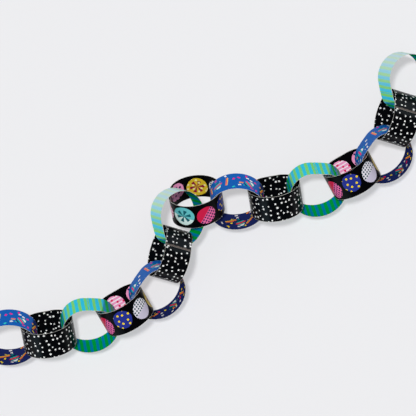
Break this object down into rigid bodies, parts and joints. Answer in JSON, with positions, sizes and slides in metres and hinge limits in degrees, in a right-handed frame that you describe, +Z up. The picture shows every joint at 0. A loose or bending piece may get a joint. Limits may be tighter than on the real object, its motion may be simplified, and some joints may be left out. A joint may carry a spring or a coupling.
{
  "type": "paper chain garland",
  "caption": "Party garland of printed card strips, each rolled into a ring through the one before it, laid flat in two swags.",
  "frame": {"origin": "on the table, at the middle of the garland's footprint", "axes": "+Z up from the table, +X from the low end of the garland to its high end, +Y up the swags"},
  "size_m": [0.5208, 0.3566, 0.0725],
  "materials": {
    "confetti_card": "glossy coated card, royal blue, printed with cut-paper shapes",
    "starry_card": "glossy coated card, black, printed with small white stars",
    "striped_card": "coated card, printed with stripes in cyan and light green",
    "medallion_card": "glossy coated card, black, printed with large round motifs"
  },
  "bodies": {
    "root": {"link_01_confetti": "confetti_card", "link_02_starry": "starry_card", "link_03_striped": "striped_card", "link_04_medallion": "medallion_card", "link_05_confetti": "confetti_card", "link_06_starry": "starry_card", "link_07_striped": "striped_card", "link_08_medallion": "medallion_card", "link_09_confetti": "confetti_card", "link_10_starry": "starry_card", "link_11_striped": "striped_card", "link_12_medallion": "medallion_card", "link_13_confetti": "confetti_card", "link_14_starry": "starry_card", "link_15_striped": "striped_card"}
  },
  "joints": []
}
